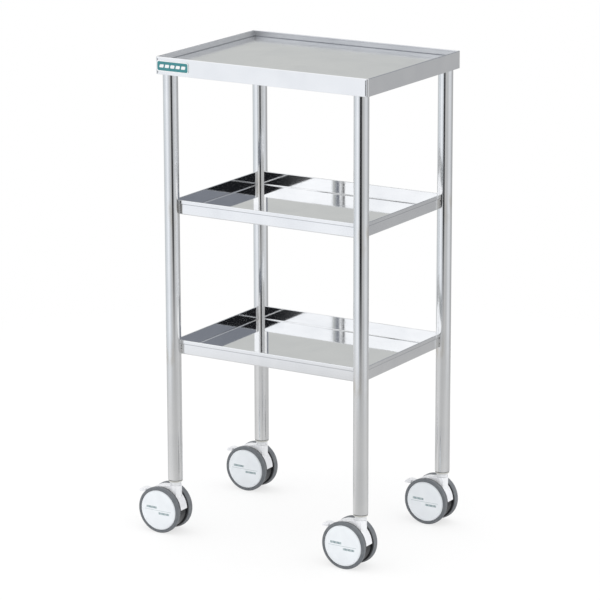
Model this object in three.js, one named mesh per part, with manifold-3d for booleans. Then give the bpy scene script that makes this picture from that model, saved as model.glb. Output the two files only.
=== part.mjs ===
// Three-tier stainless steel instrument cart on four braked twin-wheel casters.
// Millimetres, +Z up. The cart's front looks along -Y and its width runs along X.
// The origin is on the floor, under the middle of the whole cart's bounding box.
import * as THREE from 'three';
import { mergeVertices } from 'three/addons/utils/BufferGeometryUtils.js';
import Module from 'manifold-3d';

// ---- Driving dimensions: frame and trays ----
const CART_HEIGHT = 812;
const TOP_WIDTH = 400;
const TOP_DEPTH = 300;
const SHEET = 1.2; // thickness of the tray sheet
const FIT_GAP = 0.3; // clearance between neighbouring pieces

const TOP_APRON = 29; // height of the top tray's outer skirt
const TOP_RECESS = 10; // depth of its floor below the rim
const TOP_RIM = 2.4; // folded edge, two sheets thick
const TOP_CORNER = 3;
const RECESS_CORNER = 1;

const LEG_X = 180.5; // leg axes, either side of the middle
const LEG_Y = 136;
const LEG_RADIUS = 12.5;
const LEG_WALL = 1.2;
const LEG_BOTTOM = 92.5;

const PAN_WIDTH = 359; // middle and bottom trays
const PAN_DEPTH = 263;
const PAN_HEIGHT = 24;
const PAN_HEM = 6; // height of the hem folded down outside the rim
const PAN_HEM_THICKNESS = 0.9;
const PAN_RIM_HEIGHTS = { middle_tray: 573, bottom_tray: 335 };
const PAN_CORNERS = { inside: 0.8, wall: 1.5, hem: 2 };

const BADGE = { width: 62, height: 18, thickness: 0.6, corner: 4, inset: 2.5 };
const BADGE_GAP = 0.2;

// ---- Driving dimensions: casters, measured from each leg's axis and the floor ----
const WHEEL_RADIUS = 40;
const TRAIL = 20.5; // the axle's distance behind the stem, towards -X
const STEM = { radius: 5.5, pin: 4.5, pinLength: 22, grip: 31.5, tip: 1.5 };
const COLLAR_RADIUS = 9.6; // round the stem, between the hood and the socket
const SOCKET = { flange: 12, thickness: 2.4, gap: 0.7, plug: 34, tip: 1.5 };

// ---- Wheels: distances are from the caster's mid plane ----
const WHEEL_INNER = 10.4;
const WHEEL_OUTER = 23.2;
const CAP_RADIUS = 34.5;
const CAP_SEAT = 20.8; // face of the core that the hub cap sits on
const CORE_SEAT = 31; // radius of the core under the tyre
const CORE_FLANGE = { radius: 38.8, thickness: 3.5 }; // the core's rim beside the tyre
const CORE_CUP = { mouth: 27.5, floor: 22, depth: 15, hub: 19.2 };
const TREAD_START = 14.2;
const TREAD_CROWN = [16.5, 20.8]; // full radius between these distances
const TREAD_DROP = 0.9; // at the tread's edges
const SHOULDER = 22.4; // where the tread meets the outer face
const CAP_LEVELS = { edge: 0.9, bevel: 2.5, crown: 3.5, bevelWidth: 1.9 };
const AXLE = { radius: 4, halfLength: 19.6 };

// ---- Hood: distances are from the axle ----
const HOOD_HALF_WIDTH = 9.4;
const HOOD_WALL = 1.8;
const HOOD_CHEEK = 1.3;
const HOOD_TOP = 42.5; // flat pad round the stem
const HOOD_PAD_END = 11.2; // the pad's back end
const HOOD_BROW = 4; // size of the pad's rounded front edge
const HOOD_FRONT_ARC = 37; // the cheeks' front edge
const HOOD_FRONT_ANGLES = [2, 43]; // degrees up from the axle's level
const HOOD_BACK_ARC = 39.3; // the part that follows the wheels
const HOOD_BACK_ANGLES = [94, 127];
const CHEEK_ARC = 30; // below this radius the cheeks are open
const NOSE_RADIUS = 10; // round front of the hood, about the stem
const NOSE_BOTTOM = 18;
const NOSE_CAVITY_BOTTOM = 10;

// ---- Frame and brake: distances are from the axle ----
const FRAME_HALF_WIDTH = 7.8;
const FRAME_DISC = 35.5;
const FRAME_BASE = -2; // lowest level of the frame in front of the axle
const BEARING_TOP = HOOD_TOP - HOOD_WALL - FIT_GAP;
const BEARING_CLEARANCE = 1; // below the stem's foot
const PIVOT = { x: -9, z: 24.5 }; // the brake pedal's pin
const PIN_RADIUS = 1.6;
const PIN_GAP = 0.2;
const PIN_RECESS = 0.4; // the pin's ends below the frame's sides
const PEDAL = { arm: 5.2, tab: 8, boss: 3.4, reach: 48.5, armEnd: 38, tabStart: 35.5 };
const PEDAL_LEVEL = 22.6; // its underside
const PEDAL_THICKNESS = 5.2;
const PEDAL_CROWN = 7; // rise of the tab's curved top, above its underside
const CHAMBER = { front: 5, bottom: 16 }; // past the pin, and above the axle

const CLEAR = 60; // reach of a cutting tool past every surface it meets

// ---- Facets per full turn ----
const FINE = 28;
const MEDIUM = 22;
const COARSE = 16;
const TINY = 8;

const STEEL = { color: 0xd6d8da, roughness: 0.18, metalness: 1 };
const SATIN_STEEL = { color: 0xc9cbcc, roughness: 0.34, metalness: 1 };
const TEAL_ENAMEL = { color: 0x2d7d82, roughness: 0.3, metalness: 0 };
const WHITE_PLASTIC = { color: 0xf1f3f5, roughness: 0.35, metalness: 0 };
const BLACK_PLASTIC = { color: 0x1d1f21, roughness: 0.5, metalness: 0 };
const GREY_RUBBER = { color: 0x787d82, roughness: 0.6, metalness: 0 };
const ZINC = { color: 0xb9bcc0, roughness: 0.3, metalness: 1 };

const wasm = await Module();
wasm.setup();

// ---- Joining and cutting ----

// Welds a geometry's shared corners, so that it is one closed skin.
function weld(geometry) {
  const bare = geometry.clone();
  bare.deleteAttribute('normal');
  bare.deleteAttribute('uv');
  return mergeVertices(bare, 1e-4);
}

function toSolid(geometry) {
  const skin = weld(geometry);
  const vertProperties = new Float32Array(skin.attributes.position.array);
  const triVerts = new Uint32Array(skin.index.array);
  return new wasm.Manifold(new wasm.Mesh({ numProp: 3, vertProperties, triVerts }));
}

function toGeometry(solid) {
  const { vertProperties, triVerts } = solid.getMesh();
  const geometry = new THREE.BufferGeometry();
  geometry.setAttribute('position', new THREE.BufferAttribute(vertProperties, 3));
  geometry.setIndex(new THREE.BufferAttribute(triVerts, 1));
  geometry.computeVertexNormals();
  return geometry;
}

function cut(body, ...tools) {
  return tools.reduce((solid, tool) => solid.subtract(tool), body);
}

const radians = THREE.MathUtils.degToRad;

// ---- Basic shapes ----

// Revolves a closed [radius, height] outline, listed anticlockwise, round the Z axis.
function revolve(outline, facets) {
  const points = outline.map(([radius, height]) => new THREE.Vector2(radius, height));
  const onAxis = outline[0][0] === 0;
  if (!onAxis) points.push(points[0].clone());
  return new THREE.LatheGeometry(points, facets).rotateX(Math.PI / 2);
}

// Turns a shape revolved round Z to lie round an axis along Y, its top towards side * Y.
function alongY(geometry, side) {
  return geometry.rotateX(side > 0 ? -Math.PI / 2 : Math.PI / 2);
}

function cylinder(radius, bottom, top, facets) {
  return revolve([[0, bottom], [radius, bottom], [radius, top], [0, top]], facets);
}

// A level plate with rounded upright corners, centred on the Z axis.
function plate(width, depth, corner, bottom, top) {
  const shape = new THREE.Shape();
  const x = width / 2 - corner;
  const y = depth / 2 - corner;
  shape.absarc(x, y, corner, 0, Math.PI / 2);
  shape.absarc(-x, y, corner, Math.PI / 2, Math.PI);
  shape.absarc(-x, -y, corner, Math.PI, Math.PI * 1.5);
  shape.absarc(x, -y, corner, Math.PI * 1.5, Math.PI * 2);
  const settings = { depth: top - bottom, bevelEnabled: false, curveSegments: 3 };
  return new THREE.ExtrudeGeometry(shape, settings).translate(0, 0, bottom);
}

// Extrudes a shape drawn in the XZ plane to both sides of the plane y = 0.
function sidePlate(shape, halfWidth, curveSegments = 12) {
  const settings = { depth: 2 * halfWidth, bevelEnabled: false, curveSegments };
  const geometry = new THREE.ExtrudeGeometry(shape, settings);
  return geometry.rotateX(Math.PI / 2).translate(0, halfWidth, 0);
}

function box(lowX, highX, halfY, lowZ, highZ) {
  const geometry = new THREE.BoxGeometry(highX - lowX, 2 * halfY, highZ - lowZ);
  return geometry.translate((lowX + highX) / 2, 0, (lowZ + highZ) / 2);
}

function named(name, geometry, finish) {
  const mesh = new THREE.Mesh(geometry, new THREE.MeshStandardMaterial(finish));
  mesh.name = name;
  return mesh;
}

// ---- Frame and trays ----

// A shallow floor inside a folded rim, with a deeper skirt all round outside it.
function topTray() {
  const floorTop = CART_HEIGHT - TOP_RECESS;
  const skirtBottom = CART_HEIGHT - TOP_APRON;
  const block = plate(TOP_WIDTH, TOP_DEPTH, TOP_CORNER, skirtBottom, CART_HEIGHT);
  const [rim, skirt] = [2 * TOP_RIM, 2 * SHEET];
  const recess = plate(TOP_WIDTH - rim, TOP_DEPTH - rim, RECESS_CORNER, floorTop,
    CART_HEIGHT + CLEAR);
  const hollow = plate(TOP_WIDTH - skirt, TOP_DEPTH - skirt, TOP_CORNER - SHEET,
    skirtBottom - CLEAR, floorTop - SHEET);
  return toGeometry(cut(toSolid(block), toSolid(recess), toSolid(hollow)));
}

// A pan with a hem round its rim, notched at each corner for a leg to pass.
function pan(rimHeight) {
  const bottom = rimHeight - PAN_HEIGHT;
  const hem = 2 * PAN_HEM_THICKNESS;
  const tub = toSolid(plate(PAN_WIDTH, PAN_DEPTH, PAN_CORNERS.wall, bottom, rimHeight));
  const band = plate(PAN_WIDTH + hem, PAN_DEPTH + hem, PAN_CORNERS.hem,
    rimHeight - PAN_HEM, rimHeight);
  const inside = plate(PAN_WIDTH - 2 * SHEET, PAN_DEPTH - 2 * SHEET, PAN_CORNERS.inside,
    bottom + SHEET, rimHeight + CLEAR);
  const notches = legPlaces().map(({ x, y }) => {
    const notch = cylinder(LEG_RADIUS + FIT_GAP, bottom - CLEAR, rimHeight + CLEAR, FINE);
    return toSolid(notch.translate(x, y, 0));
  });
  return toGeometry(cut(tub.add(toSolid(band)), toSolid(inside), ...notches));
}

function legPlaces() {
  return ['front', 'back'].flatMap((row) => ['left', 'right'].map((side) => ({
    corner: `${row}_${side}`,
    x: side === 'left' ? -LEG_X : LEG_X,
    y: row === 'front' ? -LEG_Y : LEG_Y,
  })));
}

function leg() {
  const top = CART_HEIGHT - TOP_RECESS - SHEET - FIT_GAP;
  const bore = LEG_RADIUS - LEG_WALL;
  const outline = [[bore, LEG_BOTTOM], [LEG_RADIUS, LEG_BOTTOM], [LEG_RADIUS, top], [bore, top]];
  return revolve(outline, FINE);
}

function badge() {
  const { width, height, thickness, corner } = BADGE;
  return plate(width, height, corner, 0, thickness).rotateX(Math.PI / 2);
}

// ---- Casters: pieces round the leg's axis, heights from the floor ----

// A plastic plug that fills the end of the leg and grips the stem, with a thick flange.
function socket() {
  const plug = LEG_RADIUS - LEG_WALL - FIT_GAP;
  const bore = STEM.radius + FIT_GAP;
  const flangeTop = LEG_BOTTOM - SOCKET.gap;
  const flangeBottom = flangeTop - SOCKET.thickness;
  const top = LEG_BOTTOM + SOCKET.plug;
  return revolve([
    [bore, flangeBottom], [SOCKET.flange, flangeBottom], [SOCKET.flange, flangeTop],
    [plug, flangeTop], [plug, top - SOCKET.tip], [plug - SOCKET.tip, top], [bore, top],
  ], COARSE);
}

// The steel stem: a pin in the bearing, a collar above the hood, a grip in the socket.
function stem() {
  const shoulder = WHEEL_RADIUS + BEARING_TOP + FIT_GAP;
  const foot = shoulder - STEM.pinLength;
  const collarBottom = WHEEL_RADIUS + HOOD_TOP + FIT_GAP;
  const collarTop = LEG_BOTTOM - SOCKET.gap - SOCKET.thickness - FIT_GAP;
  const top = LEG_BOTTOM + STEM.grip;
  return revolve([
    [0, foot], [STEM.pin, foot], [STEM.pin, shoulder], [STEM.radius, shoulder],
    [STEM.radius, collarBottom], [COLLAR_RADIUS, collarBottom], [COLLAR_RADIUS, collarTop],
    [STEM.radius, collarTop], [STEM.radius, top - STEM.tip], [STEM.radius - STEM.tip, top],
    [0, top],
  ], COARSE);
}

// ---- Casters: pieces round the axle, measured from its centre ----

// The hood's side outline, `inward` mm inside its outer skin: up the cheeks' front edge,
// over the pad round the stem, and back along the wheels' arc.
function hoodShape(inward) {
  const front = HOOD_FRONT_ARC - inward;
  const back = HOOD_BACK_ARC - inward;
  const top = HOOD_TOP - inward;
  const [frontStart, frontEnd] = HOOD_FRONT_ANGLES.map(radians);
  const [backStart, backEnd] = HOOD_BACK_ANGLES.map(radians);
  const brow = front * Math.cos(frontEnd);
  const dip = new THREE.Vector2(back * Math.cos(backStart), back * Math.sin(backStart));
  const shape = new THREE.Shape();
  shape.absarc(0, 0, front, frontStart, frontEnd);
  shape.lineTo(brow, top - HOOD_BROW);
  shape.quadraticCurveTo(brow, top, brow - HOOD_BROW, top);
  shape.lineTo(HOOD_PAD_END, top);
  shape.quadraticCurveTo((HOOD_PAD_END + dip.x) / 2, back, dip.x, dip.y);
  shape.absarc(0, 0, back, backStart, backEnd);
  return shape;
}

// The space inside the hood, `gap` mm clear of it, with everything below it.
function hoodCavity(gap) {
  const inward = HOOD_WALL + gap;
  const shape = hoodShape(inward);
  shape.lineTo(-CLEAR, PEDAL_LEVEL + PEDAL_THICKNESS);
  shape.lineTo(-CLEAR, -CLEAR);
  shape.lineTo(HOOD_FRONT_ARC - inward, -CLEAR);
  const tunnel = toSolid(sidePlate(shape, HOOD_HALF_WIDTH - HOOD_CHEEK - gap, 5));
  const nose = cylinder(NOSE_RADIUS - inward, NOSE_CAVITY_BOTTOM, HOOD_TOP - inward, COARSE);
  return tunnel.add(toSolid(nose.translate(TRAIL, 0, 0)));
}

// A white cover that runs over the top between the wheels and down their front side.
function hood() {
  const outline = hoodShape(0);
  outline.lineTo(0, 0);
  const skin = toSolid(sidePlate(outline, HOOD_HALF_WIDTH, 5));
  const nose = cylinder(NOSE_RADIUS, NOSE_BOTTOM, HOOD_TOP, COARSE).translate(TRAIL, 0, 0);
  const middle = alongY(cylinder(CHEEK_ARC, -CLEAR, CLEAR, FINE), 1);
  const hole = cylinder(STEM.radius + FIT_GAP, 0, CLEAR, COARSE).translate(TRAIL, 0, 0);
  return toGeometry(cut(skin.add(toSolid(nose)), hoodCavity(0), toSolid(middle),
    toSolid(hole)));
}

// The black core between the wheels: swivel bearing, axle boss and brake chamber.
function frame() {
  const disc = alongY(cylinder(FRAME_DISC, -FRAME_HALF_WIDTH, FRAME_HALF_WIDTH, FINE), 1);
  const neck = box(0, CLEAR, FRAME_HALF_WIDTH, FRAME_BASE, CLEAR);
  const body = toSolid(disc).add(toSolid(neck)).intersect(hoodCavity(FIT_GAP));
  const bearingBottom = BEARING_TOP + FIT_GAP - STEM.pinLength - BEARING_CLEARANCE;
  const bearing = cylinder(STEM.pin + FIT_GAP, bearingBottom, CLEAR, COARSE);
  const axleBore = alongY(cylinder(AXLE.radius + FIT_GAP, -CLEAR, CLEAR, COARSE), 1);
  const chamber = box(-CLEAR, PIVOT.x + CHAMBER.front, PEDAL.arm + FIT_GAP,
    CHAMBER.bottom, CLEAR);
  return toGeometry(cut(body, toSolid(bearing.translate(TRAIL, 0, 0)), toSolid(axleBore),
    toSolid(pinBore()), toSolid(chamber)));
}

function pinBore() {
  const bore = alongY(cylinder(PIN_RADIUS + PIN_GAP, -CLEAR, CLEAR, TINY), 1);
  return bore.translate(PIVOT.x, 0, PIVOT.z);
}

function axle() {
  return alongY(cylinder(AXLE.radius, -AXLE.halfLength, AXLE.halfLength, COARSE), 1);
}

// The thumb tab's side outline: crowned on top, with a rounded tip.
function tabShape() {
  const near = -PEDAL.tabStart;
  const tip = -PEDAL.reach;
  const level = (rise) => PEDAL_LEVEL + rise;
  const shape = new THREE.Shape();
  shape.moveTo(near, level(0));
  shape.lineTo(near, level(PEDAL_THICKNESS));
  shape.quadraticCurveTo((near + tip) / 2, level(PEDAL_CROWN), tip + 1.5, level(4));
  shape.quadraticCurveTo(tip, level(3.3), tip, level(2));
  shape.quadraticCurveTo(tip + 0.4, level(0.3), tip + 2.5, level(0));
  return shape;
}

function brakePedal() {
  const top = PEDAL_LEVEL + PEDAL_THICKNESS;
  const arm = toSolid(box(-PEDAL.armEnd, PIVOT.x, PEDAL.arm, PEDAL_LEVEL, top));
  const tab = toSolid(sidePlate(tabShape(), PEDAL.tab, 3));
  const boss = alongY(cylinder(PEDAL.boss, -PEDAL.arm, PEDAL.arm, COARSE), 1);
  const body = arm.add(tab).add(toSolid(boss.translate(PIVOT.x, 0, PIVOT.z)));
  return toGeometry(cut(body, toSolid(pinBore())));
}

function brakePin() {
  const half = FRAME_HALF_WIDTH - PIN_RECESS;
  const pin = alongY(cylinder(PIN_RADIUS, -half, half, TINY), 1);
  return pin.translate(PIVOT.x, 0, PIVOT.z);
}

// ---- Wheels: outlines are [radius, distance from the caster's mid plane] ----

// A black cup on the axle, with a wide flange that shows beside the tyre.
function wheelCore() {
  const bore = AXLE.radius + FIT_GAP;
  const flangeEnd = WHEEL_INNER + CORE_FLANGE.thickness;
  return revolve([
    [bore, WHEEL_INNER], [CORE_FLANGE.radius, WHEEL_INNER], [CORE_FLANGE.radius, flangeEnd],
    [CORE_SEAT, flangeEnd], [CORE_SEAT, CAP_SEAT], [CORE_CUP.mouth, CAP_SEAT],
    [CORE_CUP.floor, CORE_CUP.depth], [bore, CORE_CUP.hub],
  ], MEDIUM);
}

// The tread is slightly crowned, and the outer face slopes in towards the hub cap.
function tyre() {
  const seat = CORE_SEAT + FIT_GAP;
  const rim = CAP_RADIUS + FIT_GAP;
  const [firstCrown, lastCrown] = TREAD_CROWN;
  return revolve([
    [seat, TREAD_START], [WHEEL_RADIUS - TREAD_DROP, TREAD_START],
    [WHEEL_RADIUS, firstCrown], [WHEEL_RADIUS, lastCrown],
    [WHEEL_RADIUS - TREAD_DROP, SHOULDER], [rim, WHEEL_OUTER], [rim, CAP_SEAT],
    [seat, CAP_SEAT],
  ], FINE);
}

// A slightly domed disc that snaps over the mouth of the core.
function hubCap() {
  const seat = CAP_SEAT + FIT_GAP;
  return revolve([
    [0, seat], [CAP_RADIUS, seat], [CAP_RADIUS, seat + CAP_LEVELS.edge],
    [CAP_RADIUS - CAP_LEVELS.bevelWidth, seat + CAP_LEVELS.bevel],
    [0, seat + CAP_LEVELS.crown],
  ], MEDIUM);
}

// ---- Assembly ----

function caster(corner) {
  const group = new THREE.Group();
  group.add(named(`caster_socket_${corner}`, socket(), WHITE_PLASTIC));
  group.add(named(`caster_stem_${corner}`, stem(), ZINC));

  const trailing = new THREE.Group();
  trailing.position.set(-TRAIL, 0, WHEEL_RADIUS);
  trailing.add(named(`caster_hood_${corner}`, hood(), WHITE_PLASTIC));
  trailing.add(named(`caster_frame_${corner}`, frame(), BLACK_PLASTIC));
  trailing.add(named(`axle_${corner}`, axle(), ZINC));
  trailing.add(named(`brake_pedal_${corner}`, brakePedal(), WHITE_PLASTIC));
  trailing.add(named(`brake_pin_${corner}`, brakePin(), ZINC));
  // Wheel a is on the cart's front side of the caster, and wheel b on its back side.
  for (const [letter, side] of [['a', -1], ['b', 1]]) {
    const end = `${corner}_${letter}`;
    trailing.add(named(`wheel_core_${end}`, alongY(wheelCore(), side), BLACK_PLASTIC));
    trailing.add(named(`tyre_${end}`, alongY(tyre(), side), GREY_RUBBER));
    trailing.add(named(`hub_cap_${end}`, alongY(hubCap(), side), WHITE_PLASTIC));
  }
  group.add(trailing);
  return group;
}

const cart = new THREE.Group();
cart.add(named('top_tray', topTray(), SATIN_STEEL));
for (const [name, rimHeight] of Object.entries(PAN_RIM_HEIGHTS)) {
  cart.add(named(name, pan(rimHeight), STEEL));
}

const frontBadge = named('badge', badge(), TEAL_ENAMEL);
frontBadge.position.set(
  -TOP_WIDTH / 2 + BADGE.inset + BADGE.width / 2,
  -TOP_DEPTH / 2 - BADGE_GAP,
  CART_HEIGHT - TOP_APRON / 2,
);
cart.add(frontBadge);

for (const { corner, x, y } of legPlaces()) {
  const station = new THREE.Group();
  station.position.set(x, y, 0);
  station.add(named(`leg_${corner}`, leg(), STEEL));
  station.add(caster(corner));
  cart.add(station);
}

// To the left the brake pedals reach furthest, and to the right the top tray or the wheels.
const leftmost = -LEG_X - TRAIL - PEDAL.reach;
const rightmost = Math.max(TOP_WIDTH / 2, LEG_X - TRAIL + WHEEL_RADIUS);
cart.position.x = -(leftmost + rightmost) / 2;

export default cart;
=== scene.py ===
"""Looks of a three-tier stainless steel instrument cart on four twin-wheel casters.

Shapes are drawn in millimetres and turned into metres when a piece is placed.
"""
import math
import random

import bmesh
import bpy
from mathutils import Matrix, Vector


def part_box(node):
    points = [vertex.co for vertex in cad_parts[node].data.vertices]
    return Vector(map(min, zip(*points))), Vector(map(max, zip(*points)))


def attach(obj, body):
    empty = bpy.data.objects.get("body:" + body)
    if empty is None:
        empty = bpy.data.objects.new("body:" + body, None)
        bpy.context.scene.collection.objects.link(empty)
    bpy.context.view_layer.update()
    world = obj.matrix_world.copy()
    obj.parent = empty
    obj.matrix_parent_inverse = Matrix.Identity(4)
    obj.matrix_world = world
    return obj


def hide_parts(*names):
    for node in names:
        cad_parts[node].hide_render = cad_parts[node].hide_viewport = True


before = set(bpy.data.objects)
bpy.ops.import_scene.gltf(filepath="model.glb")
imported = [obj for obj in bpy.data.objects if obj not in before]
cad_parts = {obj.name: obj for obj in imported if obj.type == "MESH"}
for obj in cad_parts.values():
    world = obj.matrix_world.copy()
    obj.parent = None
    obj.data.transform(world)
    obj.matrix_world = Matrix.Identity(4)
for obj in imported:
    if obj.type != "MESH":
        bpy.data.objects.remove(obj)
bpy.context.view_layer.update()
scene = bpy.context.scene

MM = 0.001
CORNERS = ("front_left", "front_right", "back_left", "back_right")
PAN_NAMES = ("middle_tray", "bottom_tray")
WHEEL_SIDES = {"a": -1, "b": 1}

# ---- Sheet metal, mm ----
SHEET = 1.2
INNER_FACE = 1.4  # the wall's inside, from the skirt's outside
RECESS = 10.0  # the top tray's floor below its rim
FOLDED_RIM = 2.4  # the rim is folded over, two sheets thick
TOP_CORNER = 3.0
RIM_HEM = 2.6  # the rim's fold reaches this far down inside
SEAM_PLACE = 4.2  # the corner seam's distance from the skirt's end
SEAM_HALF_WIDTH = 0.75
SEAM_DEPTH = 1.3
SEAM_LAP = 3.0  # half width of the flange that laps behind a seam
LAP_INSET = 1.86  # its middle, from the skirt's outside
LAP_ENDS = (1.5, 1.0)  # its distances from the skirt's foot and from the floor
CORNER_RELIEF = 1.5  # small round notch in each corner of the floor
RELIEF_DEPTH = 0.5
RELIEF_OVERLAP = 0.4
PAN_HEM = 6.0  # the hem folded down outside a pan's rim
PAN_HEM_THICKNESS = 0.9
HEM_LINE = 0.5  # half width of the painted shade line under the hem
PAN_CORNER = 1.5
PAN_BEND = 1.8  # rounding of the bend under a pan
SMALLEST_CORNER = 0.8  # of a folded sheet's inner rings
FLOOR_MARGIN = 14.0  # the innermost ring of points on a floor
LEG_WALL = 1.2
LEG_NOTCH_GAP = 0.15
NOTCH_REACH = 2.0  # a leg's notch is cut this far past the pan

# ---- Casters, mm, measured from the axle unless said otherwise ----
TRAIL = 20.5  # from the axle to the stem
STEM_RADIUS = 5.5
STEM_PIN = 4.5
STEM_PIN_LENGTH = 22.0
COLLAR_RADIUS = 9.6  # round the stem, between the hood and the socket
COLLAR_GROOVE = 0.5
COLLAR_GROOVE_WIDTHS = (0.5, 0.3)  # half widths at its mouth and at its bottom
SOCKET_FLANGE = 2.4
HOOD_HALF_WIDTH = 9.4
HOOD_WALL = 1.8
HOOD_CHEEK = 1.3
HOOD_TOP = 42.5
HOOD_PAD_END = 11.2  # back end of the flat pad round the stem
HOOD_BROW = 4.0  # the pad's rounded front edge
HOOD_FRONT_ARC = 37.0
HOOD_FRONT_ANGLES = (2, 43)
HOOD_BACK_ARC = 39.3
HOOD_BACK_ANGLES = (94, 127)
CHEEK_ARC = 30.0  # below this radius the cheeks are open
NOSE_RADIUS = 10.0
NOSE_BOTTOM = 18.0
NOSE_CAVITY_BOTTOM = 10.0
HOOD_MOULD = (0.36, 3)  # voxel size and rounds of smoothing of a moulding
FRAME_MOULD = (0.4, 2)
FRAME_HALF_WIDTH = 7.8
FRAME_DISC = 35.5
FRAME_BASE = -2.0
PIVOT = Vector((-9.0, 24.5))
PIN_RADIUS = 1.6
PIN_GAP = 0.2
PIN_INSET = 0.4  # its ends, inside the frame's faces
PEDAL_ARM = 5.2  # half widths of the pedal's arm and of its thumb tab
PEDAL_TAB = 8.0
PEDAL_ARM_END = -38.0
PEDAL_TAB_START = -35.5
PEDAL_REACH = 48.5
PEDAL_LEVEL = 22.6  # the pedal's underside
PEDAL_THICKNESS = 5.2
PEDAL_CROWN = 7.0  # the tab's curve is drawn towards this height
PEDAL_BOSS = 3.4
PEDAL_TAB_EDGE = 1.0
# The tab's tip from its crown to its underside: inwards from the tip, above the underside.
PEDAL_TIP = ((1.5, 4.0), (0.0, 3.3), (0.0, 2.0), (0.4, 0.3), (2.5, 0.0))
CHAMBER_BOTTOM = 16.0
CHAMBER_FRONT = 5.0  # in front of the pivot
BEARING_CLEARANCE = 1.0
AXLE_RADIUS = 4.0
AXLE_HALF_LENGTH = 19.6
WHEEL_RADIUS = 40.0
WHEEL_INNER = 10.4  # distances from the caster's mid plane
WHEEL_OUTER = 23.2
TREAD_START = 12.7
TREAD_FULL = (16.5, 20.8)  # the tread has its full radius between these
TREAD_END = 22.4
TREAD_DROP = 0.9  # fall of the tread at its edges
CAP_SEAT = 20.8
CAP_RADIUS = 34.5
# A hub cap's radius, height above its seat and rounding, from its edge to its crown.
CAP_PROFILE = ((CAP_RADIUS, 1.0, 0.6), (32.7, 2.5, 0.8), (31.9, 2.3, 0.25),
               (31.3, 2.6, 0.5), (20.0, 3.15, 8.0), (0.0, 3.5))
CORE_SEAT = 31.0
CORE_FLANGE = 38.8
CORE_FLANGE_END = 12.4
CORE_RING = 34.0  # middle of the groove in the flange's face
CORE_RING_WIDTHS = (1.0, 0.6)  # half widths at its mouth and at its bottom
CORE_RING_DEPTH = 0.6
CUP_MOUTH = 27.5  # the cup's radius at the hub cap
CUP_FLOOR = (22.0, 15.0)  # the cup's floor: its radius and its place
HUB_END = 19.2
GAP = 0.3
CLEAR = 60.0  # reach of a cutting tool past the surfaces it meets

ROUND = 96  # points in a full turn of a turned piece
SMALL_ROUND = 48
EDGE_STEPS = 4  # in a slab's rounded rim
LONGEST_ROUNDING = 0.49  # share of a side that a rounded corner may take
MITRE_LIMIT = 0.5
SHARP_FOLD = 40  # folds sharper than this many degrees stay sharp
TINY = 1e-6


# ---- Outlines ----

def fillet(points, segments=5, closed=False):
    """Rounds the corners of a line of (x, y) or (x, y, radius) points."""
    rounded = []
    count = len(points)
    for i, point in enumerate(points):
        corner = Vector(point[:2])
        radius = point[2] if len(point) > 2 else 0.0
        is_end = not closed and i in (0, count - 1)
        if radius <= 0 or is_end:
            rounded.append(corner)
            continue
        before = Vector(points[i - 1][:2]) - corner
        after = Vector(points[(i + 1) % count][:2]) - corner
        half = before.angle(after) / 2
        limit = LONGEST_ROUNDING * min(before.length, after.length)
        reach = min(radius / math.tan(half), limit)
        radius = reach * math.tan(half)
        middle = (before.normalized() + after.normalized()).normalized()
        centre = corner + middle * (radius / math.sin(half))
        start = corner + before.normalized() * reach - centre
        end = corner + after.normalized() * reach - centre
        sweep = math.atan2(start.x * end.y - start.y * end.x, start.dot(end))
        for k in range(segments + 1):
            rounded.append(centre + Matrix.Rotation(sweep * k / segments, 2) @ start)
    return rounded


def curve(start, control, end, segments=8):
    """Points of a quadratic curve, without its first point."""
    points = []
    for k in range(1, segments + 1):
        t = k / segments
        weights = ((1 - t) ** 2, 2 * t * (1 - t), t * t)
        points.append(sum((w * Vector(p) for w, p in zip(weights, (start, control, end))),
                          Vector((0.0, 0.0))))
    return points


def arc(radius, first, last, segments=16, centre=(0.0, 0.0)):
    """Points of an arc between two angles in degrees."""
    points = []
    for k in range(segments + 1):
        angle = math.radians(first + (last - first) * k / segments)
        points.append(Vector(centre) + radius * Vector((math.cos(angle), math.sin(angle))))
    return points


def circle(radius, count):
    return [radius * Vector((math.cos(angle), math.sin(angle)))
            for angle in (2 * math.pi * k / count for k in range(count))]


def rounded_rectangle(half_x, half_y, radius, segments=6):
    points = []
    for quarter, (sx, sy) in enumerate(((1, 1), (-1, 1), (-1, -1), (1, -1))):
        centre = (sx * (half_x - radius), sy * (half_y - radius))
        points += arc(radius, 90 * quarter, 90 * quarter + 90, segments, centre)
    return points


# ---- Meshes ----

def add_object(name, data):
    added = bpy.data.objects.new(name, data)
    scene.collection.objects.link(added)
    return added


def skin(rings, closed=False, caps=True):
    """Joins rings of points into one skin. A ring of one point makes a tip."""
    builder = bmesh.new()
    loops = [[builder.verts.new(point) for point in ring] for ring in rings]
    pairs = list(zip(loops, loops[1:]))
    if closed:
        pairs.append((loops[-1], loops[0]))
    for low, high in pairs:
        count = max(len(low), len(high))
        for i in range(count):
            j = (i + 1) % count
            if len(low) == 1:
                builder.faces.new((low[0], high[j], high[i]))
            elif len(high) == 1:
                builder.faces.new((low[i], low[j], high[0]))
            else:
                builder.faces.new((low[i], low[j], high[j], high[i]))
    if caps and not closed:
        for loop in (loops[0], loops[-1]):
            if len(loop) > 1:
                builder.faces.new(loop)
    bmesh.ops.recalc_face_normals(builder, faces=builder.faces)
    mesh = bpy.data.meshes.new("skin")
    builder.to_mesh(mesh)
    builder.free()
    return mesh


def lathe(section, segments=ROUND):
    """Revolves (radius, height) points round the Z axis. Without a point on the axis
    the section closes on itself."""
    rings = []
    for radius, height in section:
        if radius < TINY:
            rings.append([Vector((0.0, 0.0, height))])
            continue
        rings.append([Vector((p.x, p.y, height)) for p in circle(radius, segments)])
    return skin(rings, closed=len(rings[0]) > 1)


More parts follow.
